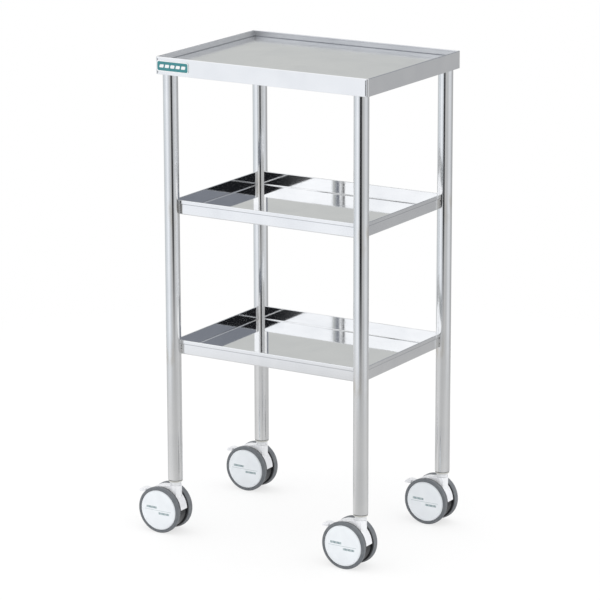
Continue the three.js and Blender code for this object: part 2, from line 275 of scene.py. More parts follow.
def folded_sheet(half_x, half_y, corner, section):
    """Carries an (inset, height) section round a rectangle and closes both floors."""
    rings = []
    for inset, height in section:
        radius = max(corner - inset, SMALLEST_CORNER)
        ring = rounded_rectangle(half_x - inset, half_y - inset, radius)
        rings.append([Vector((p.x, p.y, height)) for p in ring])
    return skin(rings)


def slab(outline, half_width, edge=0.0):
    """Extrudes an (x, z) outline to both sides of y = 0, its rims rounded by `edge`."""
    levels = [(0.0, half_width)]
    if edge > 0:
        quarter = [math.pi / 2 * k / EDGE_STEPS for k in range(EDGE_STEPS + 1)]
        levels = [(edge * (1 - math.sin(a)), half_width - edge * (1 - math.cos(a)))
                  for a in quarter]
    levels += [(inset, -y) for inset, y in reversed(levels)]
    rings = []
    for inset, y in levels:
        rings.append([Vector((p.x, y, p.y)) for p in shrunk(outline, inset)])
    return skin(rings)


def shrunk(outline, inset):
    """Moves each point of a closed outline inwards along its corner's bisector."""
    if inset == 0:
        return list(outline)
    count = len(outline)
    area = sum(outline[i - 1].cross(outline[i]) for i in range(count))
    side = 1 if area > 0 else -1
    moved = []
    for i, point in enumerate(outline):
        before = (point - outline[i - 1]).normalized()
        after = (outline[(i + 1) % count] - point).normalized()
        along = (before + after).normalized()
        normal = Vector((-along.y, along.x)) * side
        moved.append(point + normal * (inset / max(along.dot(before), MITRE_LIMIT)))
    return moved


def shifted(mesh, x=0.0, y=0.0, z=0.0):
    mesh.transform(Matrix.Translation((x, y, z)))
    return mesh


def along_y(mesh, side=1):
    """Lays a shape revolved round Z along the Y axis, its top towards side * Y."""
    mesh.transform(Matrix.Rotation(-math.pi / 2 * side, 4, "X"))
    return mesh


def rod(radius, bottom, top, segments=SMALL_ROUND):
    return lathe([(0, bottom), (radius, bottom), (radius, top), (0, top)], segments)


def block(low_x, high_x, half_y, low_z, high_z):
    corners = [Vector(p) for p in
               ((low_x, low_z), (high_x, low_z), (high_x, high_z), (low_x, high_z))]
    return slab(corners, half_y)


def with_modifiers(mesh, modifiers, tools=()):
    """The mesh after booleans with (operation, mesh) tools and (kind, settings) modifiers."""
    helper = add_object("helper", mesh)
    tool_objects = []
    for operation, tool in tools:
        tool_object = add_object("tool", tool)
        tool_objects.append(tool_object)
        boolean = helper.modifiers.new("boolean", "BOOLEAN")
        boolean.operation = operation
        boolean.solver = "EXACT"
        boolean.object = tool_object
    for kind, settings in modifiers:
        modifier = helper.modifiers.new(kind.lower(), kind)
        for key, value in settings.items():
            setattr(modifier, key, value)
    graph = bpy.context.evaluated_depsgraph_get()
    result = bpy.data.meshes.new_from_object(helper.evaluated_get(graph))
    for used in [helper] + tool_objects:
        bpy.data.objects.remove(used)
    return result


def joined(mesh, *tools):
    return with_modifiers(mesh, (), [("UNION", tool) for tool in tools])


def cut(mesh, *tools):
    return with_modifiers(mesh, (), [("DIFFERENCE", tool) for tool in tools])


def common(mesh, tool):
    return with_modifiers(mesh, (), [("INTERSECT", tool)])


def moulded(mesh, voxel, rounds):
    """Rebuilds a hard-edged shape as one with the soft edges of a moulding."""
    return with_modifiers(mesh, (
        ("REMESH", {"mode": "VOXEL", "voxel_size": voxel}),
        ("SMOOTH", {"factor": 0.5, "iterations": rounds}),
    ))


# ---- Placing pieces ----

def box_mm(node):
    """A CAD node's low corner, high corner and middle."""
    low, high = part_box(node)
    return low / MM, high / MM, (low + high) / 2 / MM


def place(name, mesh, finish, at, replaces=(), body="root", sharp=None):
    """Puts a millimetre mesh in the scene at a point in millimetres, on a CAD body."""
    if "in_metres" not in mesh:
        mesh.transform(Matrix.Scale(MM, 4))
        mesh["in_metres"] = True
        mesh.materials.clear()
        mesh.materials.append(finish)
        mesh.shade_smooth()
        if sharp is not None:
            mesh.set_sharp_from_angle(angle=math.radians(sharp))
    piece = add_object(name, mesh)
    piece.location = Vector(at) * MM
    weighted = piece.modifiers.new("flat_faces", "WEIGHTED_NORMAL")
    weighted.keep_sharp = True
    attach(piece, body)
    if replaces:
        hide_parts(*replaces)


# ---- Material nodes ----

class Nodes:
    """Short calls for building a node tree."""

    def __init__(self, tree):
        self.tree = tree

    def add(self, kind, inputs=None, **settings):
        node = self.tree.nodes.new(kind)
        for key, value in settings.items():
            setattr(node, key, value)
        for key, value in (inputs or {}).items():
            self.feed(node.inputs[key], value)
        return node

    def feed(self, socket, value):
        if isinstance(value, bpy.types.NodeSocket):
            self.tree.links.new(value, socket)
        else:
            socket.default_value = value

    def coordinates(self, scale=(1.0, 1.0, 1.0)):
        """The object's own coordinates in metres, stretched."""
        source = self.add("ShaderNodeTexCoord")
        mapping = self.add("ShaderNodeMapping", {"Vector": source.outputs["Object"],
                                                 "Scale": scale})
        return mapping.outputs["Vector"]

    def noise(self, scale, detail=3.0, stretch=(1.0, 1.0, 1.0), distortion=0.0):
        node = self.add("ShaderNodeTexNoise", {
            "Vector": self.coordinates(stretch), "Scale": scale,
            "Detail": detail, "Distortion": distortion})
        return node.outputs["Fac"]

    def remap(self, value, low, high, new_low=0.0, new_high=1.0, smooth=False):
        node = self.add("ShaderNodeMapRange", {
            "Value": value, "From Min": low, "From Max": high,
            "To Min": new_low, "To Max": new_high})
        if smooth:
            node.interpolation_type = "SMOOTHSTEP"
        return node.outputs["Result"]

    def math(self, operation, first, second=0.0):
        node = self.add("ShaderNodeMath", {0: first, 1: second}, operation=operation)
        return node.outputs["Value"]

    def times(self, first, second):
        return self.math("MULTIPLY", first, second)

    def distance(self, value, centre=0.0):
        """How far a coordinate is from a place in mm, in metres."""
        return self.math("ABSOLUTE", self.math("SUBTRACT", value, centre * MM))

    def ramp_mm(self, value, low, high, base=0.0):
        """0 to 1 while a coordinate goes from one place in mm, past `base`, to another."""
        return self.remap(value, (base + low) * MM, (base + high) * MM)

    def mix_shader(self, share, first, second):
        node = self.add("ShaderNodeMixShader", {0: share, 1: first, 2: second})
        return node.outputs[0]

    def shader(self, kind, inputs=None):
        return self.add(kind, inputs).outputs[0]

    def blend(self, share, first, second, mode="MIX"):
        """Mixes two colours."""
        node = self.add("ShaderNodeMix", {0: share, 6: first, 7: second},
                        data_type="RGBA", blend_type=mode)
        return node.outputs[2]

    def own_axes(self):
        return self.axes(self.coordinates())

    def axes(self, vector):
        node = self.add("ShaderNodeSeparateXYZ", {0: vector})
        return node.outputs["X"], node.outputs["Y"], node.outputs["Z"]

    def bump(self, height, distance, normal=None):
        inputs = {"Height": height, "Distance": distance * MM, "Strength": 1.0}
        if normal is not None:
            inputs["Normal"] = normal
        return self.add("ShaderNodeBump", inputs).outputs["Normal"]

    def ramp(self, value, stops):
        """A colour ramp through (position, colour) stops."""
        node = self.add("ShaderNodeValToRGB", {"Fac": value})
        elements = node.color_ramp.elements
        while len(elements) > 1:
            elements.remove(elements[-1])
        elements[0].position, elements[0].color = stops[0]
        for position, color in stops[1:]:
            element = elements.new(position)
            element.color = color
        return node.outputs["Color"]


class Finish(Nodes):
    """A material built round one Principled shader."""

    def __init__(self, name):
        self.material = bpy.data.materials.new(name)
        self.material.use_nodes = True
        super().__init__(self.material.node_tree)
        self.principled = self.tree.nodes["Principled BSDF"]

    def set(self, **inputs):
        """Feeds the shader's inputs and gives the material."""
        for key, value in inputs.items():
            label = key.replace("_", " ").title().replace("Ior", "IOR")
            self.feed(self.principled.inputs[label], value)
        return self.material


def rgb(red, green, blue):
    return (red, green, blue, 1.0)


STEEL_COLOR = rgb(0.90, 0.905, 0.91)
STEEL_SHADE = rgb(0.81, 0.82, 0.835)
# Painted shade: this colour darkens the insides of the top tray's long walls.
WALL_PAINTED_SHADE = rgb(0.70, 0.71, 0.73)
# Painted shade: the dark line along the top tray floor's bends.
BEND_PAINTED_SHADE = rgb(0.50, 0.51, 0.53)
# Painted shade: the line under the pans' hems.
HEM_PAINTED_SHADE = rgb(0.64, 0.65, 0.67)
MIRROR_ROUGHNESS = 0.055
SKIRT_ROUGHNESS = 0.13  # the outside of the pans
BOARD_ROUGHNESS = 0.15  # the top tray's floor
WALL_ROUGHNESS = 0.48  # and the inside of its walls
HEAT_TINT = rgb(0.62, 0.56, 0.46)
HEAT_REACH = (6.0, 34.0)  # the tint fades out between these distances from its middle
HEAT_STRETCH = (90.0, 90.0, 22.0)
HEAT_PATCHES = (0.45, 0.72, 0.0, 0.6)  # from a noise's range to the tint's share
HEAT_DROP = 14.0  # the tint's middle, under the middle of a pan
NOISE_RANGE = (0.3, 0.7)  # where most of a noise's values lie
SMUDGES = (14.0, 4.0)  # noises: scale, detail, then any stretch and distortion
SMUDGE_CURL = 0.6
SMUDGE_WEAR = (0.35, 0.75)
SMUDGE_TONE = (0.3, 0.8)
SHEET_WAVES = (7.0, 1.0)
SMOOTHEST = 0.02
LINE_DEPTH = 0.004  # mm


def steel(name, roughness, spread, grain, wave, color=STEEL_COLOR, heat_levels=(),
          shading=None):
    """Stainless steel: `grain` is the stretch of its fine lines, `wave` the depth in mm
    of the sheet's slight unevenness, and heat_levels are the heights in mm of the welds' tint.
    `shading` changes the tone and the roughness in places."""
    finish = Finish(name)
    lines = finish.noise(1.0, 4.0, grain)
    smudges = finish.noise(*SMUDGES, distortion=SMUDGE_CURL)
    worn = finish.remap(smudges, *SMUDGE_WEAR, -spread, spread)
    fine = finish.remap(lines, *NOISE_RANGE, -spread, spread)
    rough = finish.math("ADD", roughness, finish.math("ADD", worn, fine))
    rough = finish.math("MAXIMUM", rough, SMOOTHEST)
    tone = finish.blend(finish.remap(smudges, *SMUDGE_TONE), color, STEEL_SHADE)
    if heat_levels:
        height = finish.own_axes()[2]
        for level in heat_levels:
            away = finish.distance(height, level)
            near = finish.remap(away, HEAT_REACH[0] * MM, HEAT_REACH[1] * MM, 1.0, 0.0,
                                smooth=True)
            patches = finish.remap(finish.noise(1.0, 3.0, HEAT_STRETCH), *HEAT_PATCHES)
            tone = finish.blend(finish.times(near, patches), tone, HEAT_TINT)
    if shading:
        tone, rough = shading(finish, tone, rough)
    normal = finish.bump(finish.noise(*SHEET_WAVES), wave)
    normal = finish.bump(lines, LINE_DEPTH, normal)
    return finish.set(base_color=tone, metallic=1.0, roughness=rough, normal=normal)


# The top tray's masks, mm inwards from the skirt's outside: all inside it, the walls, and the
# bends' painted shade line; and their heights, from the floor or the rim.
INSIDE_MASK = (0.9, 1.2)
WALL_MASK = (2.9, 2.6)
BEND_MASK = (5.0, 3.9)
WALL_FOOT = (0.05, 0.6)
WALL_HEAD = (-0.3, -0.8)
BEND_TOP = (1.3, 0.8)
BEND_FOOT = (-0.7, -0.4)
HEM_EDGE = 0.1  # soft edges of the pans' masks
HEM_LINE_EDGE = 0.3


def inner_walls(finish, tone, rough):
    """The top tray's walls are brushed dull inside, the long ones are darkened with painted
    shade, and a painted shade line runs along the floor's bends."""
    _, high, middle = box_mm("top_tray")
    half = high - middle
    floor = high.z - RECESS
    x, y, z = finish.own_axes()

    def along_edges(start, end):
        """Masks along the short walls and along the long ones."""
        return (finish.ramp_mm(finish.distance(x), half.x - start, half.x - end),
                finish.ramp_mm(finish.distance(y), half.y - start, half.y - end))

    within = finish.times(*along_edges(*INSIDE_MASK))
    upright = finish.times(finish.ramp_mm(z, *WALL_FOOT, base=floor),
                           finish.ramp_mm(z, *WALL_HEAD, base=high.z))
    upright = finish.times(within, upright)
    short_wall, long_wall = along_edges(*WALL_MASK)
    either = finish.math("MAXIMUM", long_wall, short_wall)
    brushed = finish.times(finish.times(upright, either), WALL_ROUGHNESS - BOARD_ROUGHNESS)
    rough = finish.math("ADD", rough, brushed)
    # Painted shade on the insides of the long walls.
    tone = finish.blend(finish.times(upright, long_wall), tone, WALL_PAINTED_SHADE, mode="MULTIPLY")
    # Painted shade line along the floor's bends.
    level = finish.times(finish.ramp_mm(z, *BEND_TOP, base=floor),
                         finish.ramp_mm(z, *BEND_FOOT, base=floor))
    line = finish.math("MAXIMUM", *along_edges(*BEND_MASK))
    line = finish.times(line, finish.times(within, level))
    return finish.blend(line, tone, BEND_PAINTED_SHADE, mode="MULTIPLY"), rough


def hem_line(finish, tone, rough):
    """Pans are brushed outside, with a painted shade line along the lower edge of the hem."""
    _, high, middle = box_mm(PAN_NAMES[0])
    half = high - middle
    x, y, z = finish.own_axes()

    def beyond(value, limit):
        return finish.ramp_mm(finish.distance(value), -HEM_EDGE, HEM_EDGE, base=limit)

    skin_depth = PAN_HEM_THICKNESS + SHEET / 2
    outside = finish.math("MAXIMUM", beyond(x, half.x - skin_depth),
                          beyond(y, half.y - skin_depth))
    # Painted shade line under each hem's lower edge, on the outside only.
    for name in PAN_NAMES:
        edge = box_mm(name)[1].z - PAN_HEM - HEM_LINE
        line = finish.ramp_mm(finish.distance(z, edge), HEM_LINE_EDGE, 0.0, HEM_LINE)
        tone = finish.blend(finish.times(line, outside), tone, HEM_PAINTED_SHADE, mode="MULTIPLY")
    brushed = finish.times(outside, SKIRT_ROUGHNESS - MIRROR_ROUGHNESS)
    return tone, finish.math("ADD", rough, brushed)


PLASTIC_GRAIN = (1500.0, 2.0)
PLASTIC_IOR = 1.46
CLOUDS = (55.0, 4.0)
CLOUD_TONE = (0.35, 0.7)
CLOUD_ROUGHNESS = (-0.06, 0.08)
SCUFFS = (420.0, 5.0, (1.0, 1.0, 0.12), 1.5)
SCUFF_SHARE = (0.66, 0.78, 0.0, 0.35)
SCUFF_ROUGHNESS = 0.3


def plastic(name, color, shade, roughness, grain_depth, marks=None):
    """Moulded plastic with a fine spark-eroded grain and slightly uneven colour."""
    finish = Finish(name)
    clouds = finish.noise(*CLOUDS)
    scuffed = finish.remap(finish.noise(*SCUFFS), *SCUFF_SHARE)
    tone = finish.blend(finish.remap(clouds, *CLOUD_TONE), color, shade)
    tone = finish.blend(scuffed, tone, shade)
    # For the hub caps this adds print; for the sockets it paints shade into the flange's gap.
    if marks:
        tone = marks(finish, tone)
    low, high = CLOUD_ROUGHNESS
    rough = finish.remap(clouds, *NOISE_RANGE, roughness + low, roughness + high)
    rough = finish.math("ADD", rough, finish.times(scuffed, SCUFF_ROUGHNESS))
    return finish.set(base_color=tone, roughness=rough, ior=PLASTIC_IOR,
                      normal=finish.bump(finish.noise(*PLASTIC_GRAIN), grain_depth))


MARK_COLOR = rgb(0.010, 0.105, 0.115)
MARK_LINE = 26.0  # half length of the printed line on a hub cap, mm
MARK_DASH = 2.6  # pitch of the printed dashes
MARK_ROWS = ((-12.0, 4.6), (12.0, -4.6))  # centres of the two rows of dashes
MARK_ROW_LENGTH = 10.4
MARK_ROW_HEIGHT = 1.9
MARK_LINE_HEIGHT = 0.3
MARK_LINE_INK = 0.6  # the line is printed fainter than the dashes
MARK_EDGE = 0.12
MARK_DASH_END = (0.30, 0.36)  # from a dash's middle, in pitches
INK = (900.0, 3.0)
INK_WEAR = (0.35, 0.6, 0.75, 1.0)


def printed_marks(finish, tone):
    """One thin level line and two short rows of plain dashes, printed on the cap."""
    x, _, z = finish.own_axes()

    def within(value, centre, half):
        return finish.ramp_mm(finish.distance(value, centre), half + MARK_EDGE,
                              half - MARK_EDGE)

    line = finish.times(within(z, 0.0, MARK_LINE_HEIGHT), within(x, 0.0, MARK_LINE))
    ink = finish.times(line, MARK_LINE_INK)
    phase = finish.math("FRACT", finish.math("DIVIDE", x, MARK_DASH * MM))
    from_middle = finish.math("ABSOLUTE", finish.math("SUBTRACT", phase, 0.5))
    dashes = finish.remap(from_middle, *MARK_DASH_END, 1.0, 0.0)
    for along, up in MARK_ROWS:
        row = finish.times(within(z, up, MARK_ROW_HEIGHT), within(x, along, MARK_ROW_LENGTH))
        ink = finish.math("MAXIMUM", ink, finish.times(row, dashes))
    worn = finish.remap(finish.noise(*INK), *INK_WEAR)
    return finish.blend(finish.times(ink, worn), tone, MARK_COLOR)


# Painted shade for the gap between the socket's flange and the tube.
GAP_PAINTED_SHADE = rgb(0.03, 0.028, 0.025)
GAP_SHADE_START = (-0.35, -0.05)  # from the flange's top


def socket_gap_shade(finish, tone):
    """Painted shade in the gap between the socket's flange and the tube."""
    low = box_mm("caster_socket_front_left")[0]
    z = finish.own_axes()[2]
    gap = low.z + SOCKET_FLANGE
    return finish.blend(finish.ramp_mm(z, *GAP_SHADE_START, base=gap), tone, GAP_PAINTED_SHADE)


RIM_START = (20.6, 22.2)  # the darker outer face starts here, mm from the mid plane
MOULD_RING = 0.9  # pitch of the tread's fine rings, mm
DUST = (140.0, 5.0)
DUST_TONE = (0.4, 0.75)
TREAD_TONES = (rgb(0.152, 0.163, 0.178), rgb(0.200, 0.209, 0.220))  # clean and dusty
FACE_TONES = (rgb(0.118, 0.130, 0.144), rgb(0.158, 0.168, 0.178))
RUBBER_GRAIN = (2200.0, 2.0)
RUBBER_RELIEF = 0.02
RUBBER_ROUGHNESS = (0.46, 0.66)
RUBBER_IOR = 1.5


def rubber():
    """Grey tyre rubber: a darker outer face, fine mould rings on the tread, and dust."""
    finish = Finish("tyre_rubber")
    y = finish.own_axes()[1]
    rings = finish.math("SINE", finish.times(y, 2 * math.pi / (MOULD_RING * MM)))
    dust = finish.noise(*DUST)
    dusty = finish.remap(dust, *DUST_TONE)
    tread = finish.blend(dusty, *TREAD_TONES)
    face = finish.blend(dusty, *FACE_TONES)
    outer = finish.remap(finish.math("ABSOLUTE", y), RIM_START[0] * MM, RIM_START[1] * MM,
                         smooth=True)
    rough = finish.remap(dust, *NOISE_RANGE, *RUBBER_ROUGHNESS)
    normal = finish.bump(rings, RUBBER_RELIEF)
    normal = finish.bump(finish.noise(*RUBBER_GRAIN), RUBBER_RELIEF, normal)
    return finish.set(base_color=finish.blend(outer, tread, face), roughness=rough,
                      ior=RUBBER_IOR, normal=normal)


def two_tone(name, tones, patches, share, grain, depth, rough, rough_grain=False, **inputs):
    """Two patchy tones and a relief `depth` mm deep. `patches` and `grain` are noises,
    and the roughness follows the one or the other."""
    finish = Finish(name)
    spots = finish.noise(*patches)
    relief = finish.noise(*grain)
    source = relief if rough_grain else spots
    return finish.set(base_color=finish.blend(finish.remap(spots, *share), *tones),
                      roughness=finish.remap(source, *NOISE_RANGE, *rough),
                      normal=finish.bump(relief, depth), **inputs)


TOP_GRAIN = (26.0, 3200.0, 3200.0)  # hairlines along the width
SHEET_GRAIN = (40.0, 900.0, 900.0)
TUBE_GRAIN = (160.0, 160.0, 2600.0)  # polishing rings round a tube
TURNING_GRAIN = (300.0, 300.0, 5200.0)

heat_levels = [box_mm(name)[2].z - HEAT_DROP for name in PAN_NAMES]
satin_steel = steel("satin_steel", BOARD_ROUGHNESS, spread=0.03, grain=TOP_GRAIN, wave=0.05,
                    shading=inner_walls)
# Lap flanges behind the corner seams; their near-black colour is painted shade, seen through
# the seam slots.
painted_shade_lap_steel = steel("painted_shade_lap_steel", 0.45, spread=0.05, grain=TOP_GRAIN, wave=0.05,
                  color=rgb(0.10, 0.10, 0.10))
mirror_steel = steel("mirror_steel", MIRROR_ROUGHNESS, spread=0.02, grain=SHEET_GRAIN,
                     wave=0.10, shading=hem_line)
tube_steel = steel("tube_steel", 0.13, spread=0.03, grain=TUBE_GRAIN, wave=0.02,
                   heat_levels=heat_levels)
weld_steel = two_tone(
    "weld_metal", tones=(rgb(0.84, 0.84, 0.83), rgb(0.11, 0.09, 0.07)),
    patches=(420.0, 4.0), share=(0.47, 0.60), grain=(1400.0, 3.0), depth=0.12,
    rough=(0.22, 0.5), rough_grain=True, metallic=1.0)
plated_steel = two_tone(
    "plated_steel", tones=(rgb(0.74, 0.75, 0.76), rgb(0.58, 0.58, 0.57)),
    patches=(120.0, 4.0), share=(0.4, 0.7), grain=(1.0, 3.0, TURNING_GRAIN), depth=0.015,
    rough=(0.16, 0.34), metallic=1.0)
badge_enamel = two_tone(
    "badge_enamel", tones=(rgb(0.024, 0.205, 0.222), rgb(0.020, 0.172, 0.192)),
    patches=(160.0, 3.0), share=(0.35, 0.7), grain=(900.0, 1.0), depth=0.01,
    rough=(0.18, 0.3), coat_weight=0.4, coat_roughness=0.1)
socket_plastic = plastic("socket_plastic", rgb(0.60, 0.60, 0.565), rgb(0.52, 0.52, 0.49),
                         roughness=0.4, grain_depth=0.012, marks=socket_gap_shade)
collar_finish = plastic("collar_finish", rgb(0.80, 0.81, 0.83), rgb(0.70, 0.71, 0.73),
                        roughness=0.3, grain_depth=0.012)
white_plastic = plastic("white_plastic", rgb(0.87, 0.88, 0.90), rgb(0.82, 0.83, 0.86),
                        roughness=0.36, grain_depth=0.012)
cap_plastic = plastic("cap_plastic", rgb(0.77, 0.80, 0.83), rgb(0.73, 0.76, 0.79),
                      roughness=0.34, grain_depth=0.008, marks=printed_marks)
black_plastic = plastic("black_plastic", rgb(0.016, 0.018, 0.021), rgb(0.035, 0.037, 0.04),
                        roughness=0.34, grain_depth=0.02)
badge_white = plastic("badge_white", rgb(0.78, 0.80, 0.81), rgb(0.70, 0.72, 0.73),
                      roughness=0.3, grain_depth=0.004)
tyre_rubber = rubber()


# ---- Trays ----

def top_tray():
    low, high, middle = box_mm("top_tray")
    half = high - middle
    floor = high.z - RECESS
    hem = high.z - RIM_HEM
    section = fillet([
        (FLOOR_MARGIN, floor),
        (INNER_FACE, floor, 1.6),
        (INNER_FACE, hem, 0.2),
        (FOLDED_RIM, hem, 0.5),
        (FOLDED_RIM, high.z, 1.1),
        (0.0, high.z, 1.1),
        (0.0, low.z, 0.4),
        (SHEET, low.z, 0.4),
        (SHEET, floor - SHEET, 0.8),
        (FLOOR_MARGIN, floor - SHEET),
    ])
    sheet = folded_sheet(half.x, half.y, TOP_CORNER, section)
    tools = []
    laps = []
    for side_x in (-1, 1):
        for side_y in (-1, 1):
            x = side_x * (half.x - SEAM_PLACE)
            seam = block(-SEAM_HALF_WIDTH, SEAM_HALF_WIDTH, SEAM_DEPTH, low.z - 1, hem)
            tools.append(shifted(seam, x, side_y * half.y))
            lap = block(-SEAM_LAP, SEAM_LAP, SHEET / 2, low.z + LAP_ENDS[0],
                        floor - SHEET - LAP_ENDS[1])
            laps.append(shifted(lap, x, side_y * (half.y - LAP_INSET)))
            relief = rod(CORNER_RELIEF, floor - SHEET - RELIEF_DEPTH, hem)
            inner = FOLDED_RIM + CORNER_RELIEF - RELIEF_OVERLAP
            tools.append(shifted(relief, side_x * (half.x - inner),
                                 side_y * (half.y - inner)))
    place("top_tray_sheet", cut(sheet, *tools), satin_steel,
          (middle.x, middle.y, 0), ["top_tray"], sharp=SHARP_FOLD)
    place("top_tray_laps", joined(*laps), painted_shade_lap_steel,
          (middle.x, middle.y, 0))


def pan_sizes(name):
    """A pan's box, and half its length and width inside the hem."""
    low, high, middle = box_mm(name)
    half = high - middle
    return low, high, middle, half.x - PAN_HEM_THICKNESS, half.y - PAN_HEM_THICKNESS


def pan(name):
    low, high, middle, half_x, half_y = pan_sizes(name)
    hem = -PAN_HEM_THICKNESS
    section = fillet([
        (FLOOR_MARGIN, low.z + SHEET),
        (SHEET, low.z + SHEET, 1.6),
        (SHEET, high.z, 0.9),
        (hem, high.z, 0.9),
        (hem, high.z - PAN_HEM, 0.4),
        (0.0, high.z - PAN_HEM, 0.3),
        (0.0, low.z, PAN_BEND),
        (FLOOR_MARGIN, low.z),
    ])
    sheet = folded_sheet(half_x, half_y, PAN_CORNER, section)
    notches = []
    for corner in CORNERS:
        leg = box_mm(f"leg_{corner}")[2]
        notch = rod(leg_radius + LEG_NOTCH_GAP, low.z - NOTCH_REACH, high.z + NOTCH_REACH,
                    ROUND)
        notches.append(shifted(notch, leg.x - middle.x, leg.y - middle.y))
    place(f"{name}_sheet", cut(sheet, *notches), mirror_steel,
          (middle.x, middle.y, 0), [name], sharp=SHARP_FOLD)


PAN_BEAD = (0.95, 2.3)  # radius of a weld bead and pitch of its ripples
PAN_BEAD_ENDS = (0.8, 0.4)  # its distances from the pan's underside and rim
PAN_BEAD_STEPS = 44
PAN_BEAD_WANDER = 0.12
TOP_BEAD = (1.2, 2.4)
TOP_BEAD_SINK = 0.2
TOP_BEAD_OFFSET = 0.1
TOP_BEAD_STEPS = 120
BEAD_SIDES = 10
BEAD_VALLEY = 0.55  # shares of the radius: between ripples, added on a ripple,
BEAD_RIPPLE = 0.35  # by chance, and at the ends
BEAD_CHANCE = 0.22
BEAD_END = 0.45
STEEP = 0.1


def bead(path, radius, pitch, closed=False):
    """A weld bead: a rippled rope along a path of points."""
    rings = []
    count = len(path)
    travelled = 0.0
    for i, point in enumerate(path):
        before = path[i - 1] if (i > 0 or closed) else point
        after = path[(i + 1) % count] if (i < count - 1 or closed) else point
        along = (after - before).normalized()
        if i > 0:
            travelled += (point - path[i - 1]).length
        across = along.cross(Vector((0, 0, 1)))
        if across.length < STEEP:
            across = Vector((1, 0, 0))
        across.normalize()
        other = along.cross(across)
        ripple = abs(math.sin(math.pi * travelled / pitch))
        chance = random.uniform(-BEAD_CHANCE, BEAD_CHANCE)
        size = radius * (BEAD_VALLEY + BEAD_RIPPLE * ripple + chance)
        if not closed and i in (0, count - 1):
            size *= BEAD_END
        ring = []
        for k in range(BEAD_SIDES):
            angle = 2 * math.pi * k / BEAD_SIDES
            ring.append(point + size * (math.cos(angle) * across + math.sin(angle) * other))
        rings.append(ring)
    if not closed:
        rings = [[path[0]]] + rings + [[path[-1]]]
    return skin(rings, closed)


def pan_welds(name):
    """The beads that join a pan's walls to the four legs."""
    low, high, middle, half_x, half_y = pan_sizes(name)
    bottom = low.z + PAN_BEAD_ENDS[0]
    top = high.z - PAN_BEAD_ENDS[1]
    for corner in CORNERS:
        leg = box_mm(f"leg_{corner}")[2]
        side_x = 1 if leg.x > middle.x else -1
        side_y = 1 if leg.y > middle.y else -1
        wall_x = middle.x + side_x * half_x
        wall_y = middle.y + side_y * half_y
        reach_x = math.sqrt(leg_radius ** 2 - (leg.y - wall_y) ** 2)
        reach_y = math.sqrt(leg_radius ** 2 - (leg.x - wall_x) ** 2)
        feet = (Vector((leg.x - side_x * reach_x, wall_y)),
                Vector((wall_x, leg.y - side_y * reach_y)))
        beads = []
        for foot in feet:
            path = []
            for k in range(PAN_BEAD_STEPS + 1):
                z = bottom + (top - bottom) * k / PAN_BEAD_STEPS
                wander = random.uniform(-PAN_BEAD_WANDER, PAN_BEAD_WANDER)
                path.append(Vector((foot.x - leg.x + wander, foot.y - leg.y + wander, z)))
            beads.append(bead(path, *PAN_BEAD))
        place(f"weld_{name}_{corner}", joined(*beads), weld_steel, (leg.x, leg.y, 0))


def leg_pieces(corner):
    low, high, leg = box_mm(f"leg_{corner}")
    bore = leg_radius - LEG_WALL
    tube = lathe(fillet([
        (bore, low.z, 0.35), (leg_radius, low.z, 0.6),
        (leg_radius, high.z, 0.2), (bore, high.z, 0.2),
    ], 4, closed=True))
    place(f"leg_{corner}_tube", tube, tube_steel, (leg.x, leg.y, 0),
          [f"leg_{corner}"])
    ring = [Vector((p.x, p.y, high.z - TOP_BEAD_SINK))
            for p in circle(leg_radius + TOP_BEAD_OFFSET, TOP_BEAD_STEPS)]
    place(f"weld_top_{corner}", bead(ring, *TOP_BEAD, closed=True), weld_steel,
          (leg.x, leg.y, 0))


BADGE_CORNER = 4.0
BADGE_EDGE = 0.15
BADGE_BORDER = 1.5
PANEL_CORNER = 3.0
PANEL_STANDS_OUT = 0.02
BARS_STAND_OUT = 0.10
PRINT_EDGE = 0.05
BADGE_BARS = (-21.0, -10.5, 0.0, 10.5, 21.0)  # centres along the badge, mm
BADGE_BAR = (3.9, 2.6)  # half width and half height
BADGE_BAR_CORNER = 1.2
BADGE_BAR_SLANT = 0.25


def badge():
    _, high, middle = box_mm("badge")
    half = high - middle
    plate = slab(rounded_rectangle(half.x, half.z, BADGE_CORNER, 8), half.y, BADGE_EDGE)
    panel_outline = rounded_rectangle(half.x - BADGE_BORDER, half.z - BADGE_BORDER,
                                      PANEL_CORNER, 8)
    panel = slab(panel_outline, half.y + PANEL_STANDS_OUT, PRINT_EDGE)
    place("badge_border", plate, badge_white, middle, ["badge"])
    place("badge_panel", panel, badge_enamel, middle)
    bars = []
    outline = [Vector((p.x + BADGE_BAR_SLANT * p.y, p.y))
               for p in rounded_rectangle(*BADGE_BAR, BADGE_BAR_CORNER)]
    for centre in BADGE_BARS:
        bars.append(shifted(slab(outline, half.y + BARS_STAND_OUT, PRINT_EDGE), centre))
    place("badge_bars", joined(*bars), badge_white, middle)


# ---- Casters ----

def socket(corner):
    low, high, axis = box_mm(f"caster_socket_{corner}")
    flange = high.x - axis.x
    plug = leg_radius - LEG_WALL - GAP
    flange_top = low.z + SOCKET_FLANGE
    bore = STEM_RADIUS + GAP
    mesh = lathe(fillet([
        (bore, low.z, 0.3), (flange, low.z, 0.7), (flange, flange_top, 0.5),
        (plug, flange_top, 0.2), (plug, high.z, 1.5), (bore, high.z, 0.5),
    ], 4, closed=True))
    place(f"caster_socket_{corner}_plug", mesh, socket_plastic,
          (axis.x, axis.y, 0), [f"caster_socket_{corner}"])


